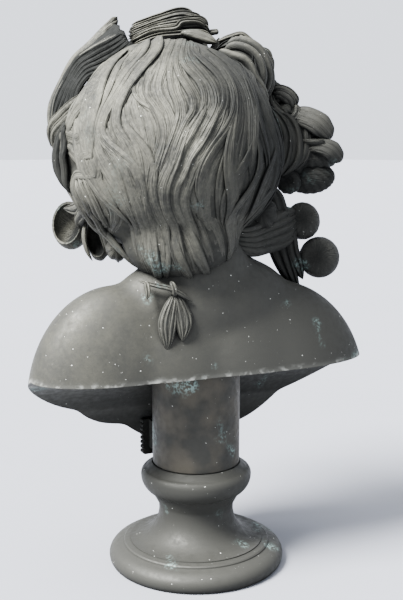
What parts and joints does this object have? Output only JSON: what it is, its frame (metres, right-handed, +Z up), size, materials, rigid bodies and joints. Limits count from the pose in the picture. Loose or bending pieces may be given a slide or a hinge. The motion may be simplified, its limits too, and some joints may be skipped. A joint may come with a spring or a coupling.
{
  "type": "cast zinc goddess bust",
  "caption": "Classical female bust with a leafy wreath and curled hair, its head turned to one side, on a round post and a turned socle.",
  "frame": {"origin": "centre of the socle's underside, on the surface that the bust stands on", "axes": "+Z up along the post; the shoulders face -Y, the figure's left side is +X"},
  "size_m": [0.3568, 0.243, 0.5813],
  "materials": {
    "cast_zinc": "cast zinc weathered to a matt dark grey",
    "post_zinc": "cast zinc weathered to a matt dark grey",
    "tablet_zinc": "cast zinc weathered nearly black",
    "socle_zinc": "cast zinc weathered to a matt grey"
  },
  "bodies": {
    "root": {"bust": "cast_zinc", "post": "post_zinc", "front_tablet": "tablet_zinc", "socle": "socle_zinc"}
  },
  "joints": []
}
